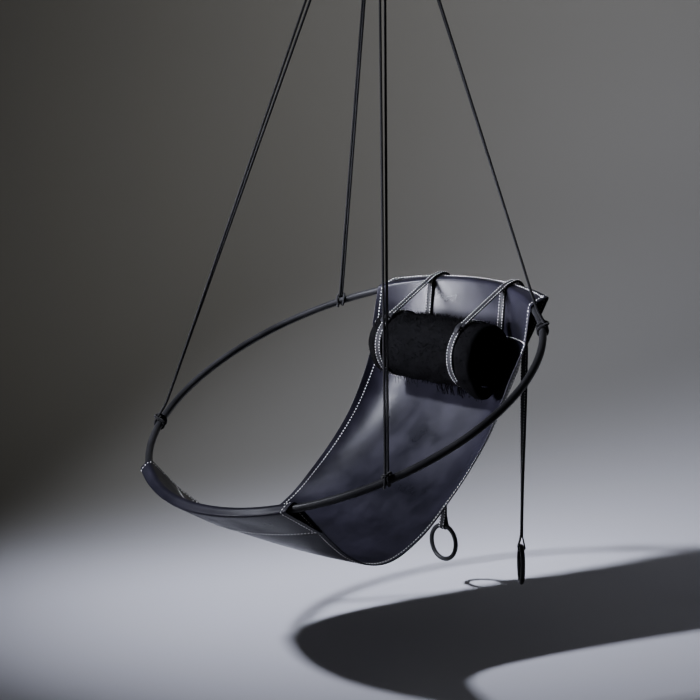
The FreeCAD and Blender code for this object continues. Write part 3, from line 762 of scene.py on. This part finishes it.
def make_straps():
    for side, name in SIDES:
        x = side * STRAP_X
        for layer, label, node in ((1, "front", "strap_front_"), (0, "back", "strap_back_")):
            line, crest = strand_line(layer)
            points = evenly(to_row(line[:crest + 1], x), 0.004)
            verts, faces, w, n = ribbon_mesh(points, X_AXIS, STRAP_W, STRAP_T)
            nodes = (node + name,) + (("strap_saddle_" + name,) if layer else ())
            strap = add_mesh(f"strand_{label}_{name}", verts, faces, STRAP, "strap_leather",
                             nodes=nodes)
            rows = [strap_stitches(points, w, n, face) for face in (1, -1)]
            seam = add_mesh(f"stitch_strand_{label}_{name}", *join_parts(rows), THREAD, "thread")
            for piece in (strap, seam):
                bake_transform(piece)
        points, width_dir = drop_line(side)
        verts, faces, w, n = ribbon_mesh(points, width_dir, STRAP_W, STRAP_T)
        tail = add_mesh("strand_tail_" + name, verts, faces, STRAP, "strap_leather",
                        nodes=("strap_drop_" + name,))
        seam = add_mesh("stitch_tail_" + name, *strap_stitches(points, w, n), THREAD, "thread")
        for piece in (tail, seam):
            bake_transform(piece)
        angles = np.linspace(0, 2 * math.pi, 97)
        r = ROLL_R + 0.0001 + STRAP_T / 2
        ring = np.column_stack([np.full(97, x), ROLL_C[1] + r * np.cos(angles),
                                ROLL_C[2] + r * np.sin(angles)])
        verts, faces, w, n = ribbon_mesh(ring, X_AXIS, STRAP_W, STRAP_T)
        add_mesh("strand_wrap_" + name, verts, faces, STRAP, "strap_leather", "headrest",
                 ("strap_wrap_" + name,))
        outward = 1 if np.dot(n[0], ring[0] - ring[48]) > 0 else -1
        open_side = slice(12, 76)
        rows = strap_stitches(ring[open_side], w[open_side], n[open_side], outward)
        add_mesh("stitch_wrap_" + name, *rows, THREAD, "thread", "headrest")
        make_keeper(side, name, x)


KEEPER_W, KEEPER_T = 0.012, 0.0022
TIP_W, TIP_T = 0.014, 0.0026


def make_keeper(side, name, x):
    """Folded keeper loop over the strap's crossing, with a short free end."""
    runs = belt([wrap_circle(), fold_circles(1)[0]], False)
    p, q, n2 = runs[0]
    t2 = unit(q - p)
    centre = p + t2 * 0.002
    t = np.array([0, t2[0], t2[1]])
    up = np.array([0, n2[0], n2[1]])
    base = np.array([x, centre[0] + HOOP_C[1], centre[1] + HOOP_C[2]])
    hw, hh = STRAP_W / 2 + 0.0022, 0.0052
    loop = []
    for a in np.linspace(0, 2 * math.pi, 33):
        c, s = math.cos(a), math.sin(a)
        loop.append(base + X_AXIS * hw * np.sign(c) * abs(c) ** 0.5
                    + up * (hh * np.sign(s) * abs(s) ** 0.5 - 0.0018))
    loop = np.array(loop)
    verts, faces, _, _ = ribbon_mesh(loop, t, KEEPER_W, KEEPER_T)
    end = np.array([base + t * 0.004 + up * 0.0032, base - t * 0.006 + up * 0.0048,
                    base - t * 0.016 + up * 0.0052 + np.array([side * 0.002, 0, 0]),
                    base - t * 0.027 + up * 0.0010 + np.array([side * 0.004, 0, 0])])
    end = resample(end, 0.002)
    tip, tip_faces, _, _ = ribbon_mesh(end, X_AXIS, TIP_W, TIP_T)
    add_mesh("keeper_" + name, *join_parts([(verts, faces), (tip, tip_faces)]), STRAP,
             "strap_leather", "headrest", ("strap_keeper_" + name,))


make_straps()


# ---------------------------------------------------------------- headrest roll
NIP_REACH = 0.012               # how far along the roll a strap's pull is felt
SLUMP, SLUMP_AT = 0.32, math.radians(-88)
SLUMP_FROM, SLUMP_OVER = 0.085, 0.08    # where along the roll it begins, and how fast
CORE_R, TURNS = 0.004, 3.6      # hollow in the middle, and turns of blanket round it


def roll_swell(x, angle):
    """How far the blanket stands out at x along the roll and an angle round it, over its radius."""
    nip = math.exp(-((abs(x) - STRAP_X) / NIP_REACH) ** 2)
    belly = 0.055 * math.cos(min(1.0, abs(x) / STRAP_X) * math.pi / 2) + 0.045 * (abs(x) > STRAP_X)
    lobe = max(0.0, math.cos(angle - SLUMP_AT)) ** 4
    near = min(1.0, max(0.0, (x - SLUMP_FROM) / SLUMP_OVER))
    slump = SLUMP * lobe * near * near * (3 - 2 * near)
    return belly * (1 - nip) - 0.03 * nip + slump


SLING_SIDE = math.radians(-20)  # direction from the roll's axis to the sling
ROLL_ROOM = 0.0840              # how far the roll may reach toward the sling
OVERHANG = 0.010                # how far its near end reaches past the CAD roll
FIBRES = 1400


def from_end(x):
    """Distance from x along the roll to its nearer end."""
    return max(0.0, ROLL_LEN / 2 - abs(x) + (OVERHANG if x > 0 else 0.0))


def end_rounding(x):
    """Share of its full radius that the roll has at x, less near its ends."""
    return 0.90 + 0.10 * min(1.0, from_end(x) / 0.028) ** 0.5


def sling_side(angle):
    """1 where a direction round the roll faces the sling behind it, 0 where it doesn't."""
    off = np.abs((angle - SLING_SIDE + math.pi) % (2 * math.pi) - math.pi)
    return 1 - np.clip((off - math.radians(50)) / math.radians(25), 0, 1)


def blanket_section(x, a, start, layer):
    """Closed outline of the rolled blanket at x: its outer side, its tip and its inner side."""
    edge = from_end(x)
    spin = start + a - a[-1]
    mid_r = CORE_R + (ROLL_R - 0.0105 - CORE_R) * (a / a[-1]) ** 0.92
    behind = ((a[-1] - a) / (2 * math.pi)) % 1.0
    sink = np.clip((behind - 0.88) / 0.12, 0, 1)
    mid_r = mid_r * (1 + 0.26 * behind * (1 - sink * sink * (3 - 2 * sink)))
    outermost = np.clip((a - a[-1] + 2 * math.pi) / (2 * math.pi), 0, 1)
    swell = 1 + np.array([roll_swell(x, t) for t in spin]) * (0.35 + 0.65 * outermost)
    rounding = end_rounding(x)
    half = layer / 2 * (0.5 + 0.46 * min(1.0, edge / 0.006) ** 0.5)
    spot = np.column_stack([np.full(len(a), x), mid_r * np.cos(spin), mid_r * np.sin(spin)])
    wob = soft_noise(spot, 0.085, 21) * 0.0024 + soft_noise(spot, 0.03, 22) * 0.0010
    wob = wob + rng.normal(0, 0.0003, len(a))
    folds = 0.0016 * np.sin(7 * spin + 9 * x / 0.18 + 1.5 * np.sin(31 * x)) * outermost
    r_out = (mid_r + half) * swell * rounding + wob + folds
    r_out = np.minimum(r_out, ROLL_ROOM + 0.035 * (1 - sling_side(spin)))
    r_in = np.maximum(mid_r - half, 0.001) * swell * rounding + wob * 0.8
    ragged = 0.010 * np.sin(a * 0.43 + (0.6 if x > 0 else 2.0)) * max(0.0, 1 - edge / 0.012)
    along = x - math.copysign(1.0, x) * np.abs(ragged)
    outer = np.column_stack([along, r_out * np.cos(spin), r_out * np.sin(spin)])
    inner = np.column_stack([along, r_in * np.cos(spin), r_in * np.sin(spin)])
    onward = np.array([0, -math.sin(spin[-1]), math.cos(spin[-1])])
    tip = 0.5 * (outer[-1] + inner[-1]) + onward * half * 0.8
    return np.vstack([outer, tip[None], inner[::-1]])


LAYER = 0.0195                  # thickness of one turn of the blanket
EDGE_AT = math.radians(-80)     # direction in which its outer edge lies


def make_roll():
    """Rolled wool blanket: a soft spiral drawn in by its two straps, slumping at its near end."""
    steps = 170
    half = ROLL_LEN / 2
    far, near = -half, half + OVERHANG
    xs = np.concatenate([[far, far + 0.0025], np.linspace(far + 0.006, near - 0.006, 87),
                         [near - 0.0025, near]])
    a = np.linspace(0, TURNS * 2 * math.pi, steps)
    rings = np.array([blanket_section(x, a, EDGE_AT, LAYER) for x in xs])
    count = rings.shape[1]
    verts = rings.reshape(-1, 3) + ROLL_C
    faces = grid_faces(len(xs), count, wrap_cols=True)
    for base, flip in ((0, False), ((len(xs) - 1) * count, True)):
        for i in range(steps - 1):
            quad = (base + i, base + count - 1 - i, base + count - 2 - i, base + i + 1)
            faces.append(quad[::-1] if flip else quad)
        last = (base + steps - 1, base + steps + 1, base + steps)
        faces.append(last[::-1] if flip else last)
    roll = add_mesh("blanket_roll", verts, faces, BLANKET, "blanket",
                    nodes=("headrest_blanket", "headrest_core"))
    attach(roll, "headrest")


def make_fringe():
    """Loose yarn ends along the blanket's outer edge."""
    parts = []
    groups = [(0.02, 0.075, 34), (0.09, 0.118, 26), (-0.16, -0.05, 14)]
    for x0, x1, count in groups:
        for _ in range(count):
            x = rng.uniform(x0, x1)
            angle = math.radians(rng.uniform(-104, -92))
            r = ROLL_R * (1 + roll_swell(x, angle)) - 0.004
            start = ROLL_C + np.array([x, r * math.cos(angle), r * math.sin(angle)])
            length = rng.uniform(0.012, 0.030)
            lean = rng.uniform(-0.006, 0.006)
            pts = [start, start + np.array([lean * 0.3, -0.002, -0.35 * length]),
                   start + np.array([lean * 0.8, -0.001, -0.7 * length]),
                   start + np.array([lean * 1.4 + rng.uniform(-0.003, 0.003), 0.001, -length])]
            parts.append(tube_mesh(resample(pts, 0.003), 0.0006, 5))
    add_mesh("blanket_fringe", *join_parts(parts), BLANKET, "blanket", "headrest")


def make_fuzz():
    """Short loose fibres over the blanket's outside, but none toward the sling."""
    parts = []
    while len(parts) < FIBRES:
        x = rng.uniform(-ROLL_LEN / 2 + 0.016, ROLL_LEN / 2 + OVERHANG - 0.016)
        if abs(abs(x) - STRAP_X) < STRAP_W / 2 + 0.003:
            continue
        angle = rng.uniform(0, 2 * math.pi)
        if sling_side(angle) > 0:
            continue
        out = np.array([rng.uniform(-0.9, 0.9), math.cos(angle), math.sin(angle)])
        depth = ROLL_R * (1 + roll_swell(x, angle)) * end_rounding(x) - 0.006
        root = ROLL_C + X_AXIS * x + out * [0, 1, 1] * depth
        tip = root + unit(out + rng.normal(0, 0.5, 3)) * rng.uniform(0.008, 0.013)
        bend = 0.5 * (root + tip) + rng.normal(0, 0.0008, 3)
        parts.append(tube_mesh(np.array([root, bend, tip]), 0.0005, 3))
    add_mesh("blanket_fuzz", *join_parts(parts), BLANKET, "blanket", "headrest")


make_roll()
make_fringe()
make_fuzz()


# ---------------------------------------------------------------- finishes on the CAD parts
def dress_cad_nodes():
    """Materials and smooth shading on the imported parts."""
    looks = {"hoop_tube": STEEL, "hoop_wrap": WRAP, "weight_core": STEEL, "weight_wrap": WRAP,
             "ceiling_plate": STEEL, "pin": ZINC, "swing_link": STEEL, "swivel_housing": STEEL,
             "swivel_cap": STEEL, "swivel_bearing": ZINC, "swivel_eye": ZINC, "top_ring": ZINC}
    for name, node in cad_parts.items():
        for key, material in looks.items():
            if key in name:
                node.data.materials.clear()
                node.data.materials.append(material)
        node.data.polygons.foreach_set("use_smooth", [True] * len(node.data.polygons))


def make_wrap_seams():
    """Closing seam of the leather on the hoop and on the two rings."""
    deg = np.linspace(0, 360, 721)
    normal = np.array([0, -math.sin(TILT), math.cos(TILT)])
    radial = np.array([unit(hoop_point(d) - HOOP_C) for d in deg])
    out = unit(-radial * 0.55 - normal * 0.83)
    line = np.array([hoop_point(d) for d in deg]) + out * HOOP_BAR
    row = stitch_row(line, out, pitch=0.006, length=0.0044, girth=0.0005)
    add_mesh("seam_hoop", *row, DARK_THREAD, "leather_wrap", "chair")
    for side, name in SIDES:
        twist = RIGHT_TWIST if side > 0 else 0.0
        x_dir = np.array([math.cos(twist), math.sin(twist), 0])
        centre = HOOP_C + np.array([side * DROP_X, drop_y(), RING_Z])
        a = np.linspace(0, 2 * math.pi, 181)
        radial = np.cos(a)[:, None] * x_dir + np.sin(a)[:, None] * np.array([0, 0, 1.0])
        line = centre + radial * (RING_R - RING_BAR)
        row = stitch_row(line, -radial, pitch=0.005, length=0.0036, girth=0.00045)
        add_mesh("seam_ring_" + name, *row, DARK_THREAD, "leather_wrap", "ring_" + name)


dress_cad_nodes()
make_wrap_seams()


# ---------------------------------------------------------------- floor and light
# the wall's grey at the viewer's left and right; the difference between them is painted light across
# the wall, warmer on the left
WALL_LEFT, WALL_RIGHT = (0.165, 0.160, 0.145), (0.155, 0.155, 0.155)
FLOOR_PALE = (0.61, 0.61, 0.67)
# past the hoop's centre: where painted shade begins darkening the pale floor to the wall's grey and
# where it is full, standing in for the falloff of the lights, and how far that border runs aslant
SHADE_FROM, SHADE_FULL, SHADE_SLANT = 0.50, 1.60, 0.30


def make_stage():
    """Pale floor running up into a grey sweep that is clear from behind; painted shade darkens the
    floor into the sweep's grey, and a painted change of light runs across the wall.
    """
    mat, tree, shader, place = start_material("studio_sweep_painted_shade")
    flat = Vector((look.x, look.y, 0)).normalized()
    side = put(tree, "ShaderNodeVectorMath", {0: place, 1: across}, operation="DOT_PRODUCT")
    slant = flat - SHADE_SLANT * across
    away = put(tree, "ShaderNodeVectorMath", {0: place, 1: slant}, operation="DOT_PRODUCT")
    middle = Vector(HOOP_C).dot(slant)
    # painted shade: the floor's pale colour darkens into the wall's grey with distance, earlier on
    # the left, standing in for the lights' falloff
    rise = put(tree, "ShaderNodeMapRange",
               {"Value": away.outputs["Value"], "From Min": middle + SHADE_FROM,
                "From Max": middle + SHADE_FULL}, interpolation_type="SMOOTHSTEP")
    # painted light across the wall: its grey turns from warmer at the left to neutral at the right
    shift = put(tree, "ShaderNodeMapRange",
                {"Value": side.outputs["Value"], "From Min": -1.6, "From Max": 1.3},
                interpolation_type="SMOOTHSTEP")
    grey = put(tree, "ShaderNodeMix",
               {0: shift.outputs[0], MIX_A: (*WALL_LEFT, 1), MIX_B: (*WALL_RIGHT, 1)},
               data_type="RGBA")
    paint_and_shade = put(tree, "ShaderNodeMix",
                {0: rise.outputs[0], MIX_A: (*FLOOR_PALE, 1), MIX_B: grey.outputs[MIX_OUT]},
                data_type="RGBA")
    tree.links.new(paint_and_shade.outputs[MIX_OUT], shader.inputs["Base Color"])
    shader.inputs["Roughness"].default_value = 0.85
    shader.inputs["Specular IOR Level"].default_value = 0.2
    clear = put(tree, "ShaderNodeBsdfTransparent")
    back = put(tree, "ShaderNodeNewGeometry").outputs["Backfacing"]
    mixed = put(tree, "ShaderNodeMixShader", {0: back, 1: shader.outputs[0], 2: clear.outputs[0]})
    tree.links.new(mixed.outputs[0], tree.nodes["Material Output"].inputs["Surface"])
    near, start, bend, top, width = -7.0, 0.85, 1.6, 6.0, 9.0
    profile = [(near, 0.0), (start, 0.0)]
    for a in np.linspace(0, math.pi / 2, 25)[1:]:
        profile.append((start + bend * math.sin(a), bend - bend * math.cos(a)))
    profile.append((start + bend, top))
    base = Vector((HOOP_C[0], HOOP_C[1], FLOOR_Z))
    verts = [base + flat * d + across * s + Vector((0, 0, h))
             for d, h in profile for s in (-width, width)]
    mesh = bpy.data.meshes.new("floor")
    mesh.from_pydata([tuple(v) for v in verts], [], grid_faces(len(profile), 2))
    mesh.materials.append(mat)
    mesh.polygons.foreach_set("use_smooth", [True] * len(mesh.polygons))
    floor = bpy.data.objects.new("floor", mesh)
    bpy.context.scene.collection.objects.link(floor)


def add_light(name, place, target, size, power, colour, spread):
    light = bpy.data.lights.new(name, "AREA")
    light.shape = "RECTANGLE"
    light.size, light.size_y = size
    light.energy = power
    light.color = colour
    light.spread = math.radians(spread)
    made = bpy.data.objects.new(name, light)
    bpy.context.scene.collection.objects.link(made)
    made.location = place
    made.rotation_mode = "QUATERNION"
    made.rotation_quaternion = (Vector(target) - Vector(place)).to_track_quat("-Z", "Y")


def view_place(right, away, up):
    """Point given from the hoop's centre, to the viewer's right, away from them, and up."""
    flat = Vector((look.x, look.y, 0)).normalized()
    sideways = Vector((across.x, across.y, 0))
    return Vector(HOOP_C) + sideways * right + flat * away + Vector((0, 0, up))


make_stage()
pool = view_place(0.6, 0.75, -0.63)
# name: place, aim, size, power, colour, spread in degrees
LIGHTS = {
    "key": (view_place(-2.56, -0.56, 2.49), pool, (0.24, 0.24), 20, (0.86, 0.89, 1.0), 42),
    "side": (view_place(-2.4, -0.45, 0.38), view_place(0.2, 0.3, 0.42), (2.7, 0.8), 38,
             (0.86, 0.87, 1.0), 28),
    "overhead": (view_place(0.2, 0.9, 1.9), view_place(0.1, 0, 0), (1.6, 0.7), 0.8,
                 (0.92, 0.94, 1.0), 180),
    "fill": (view_place(-1.4, -2.8, 1.0), view_place(0, 0, 0), (1.8, 1.8), 1.2,
             (1.0, 0.97, 0.95), 180),
    "sweep": (view_place(1.2, 0.9, 1.9), view_place(0.3, 2.85, 0.7), (2.5, 1.6), 20,
              (1.0, 0.99, 0.97), 110),
}
for name, settings in LIGHTS.items():
    add_light(name, *settings)

world = bpy.data.worlds.new("studio")
bpy.context.scene.world = world
world.use_nodes = True
world.node_tree.nodes["Background"].inputs["Color"].default_value = (0.80, 0.82, 0.86, 1)
world.node_tree.nodes["Background"].inputs["Strength"].default_value = 0.05
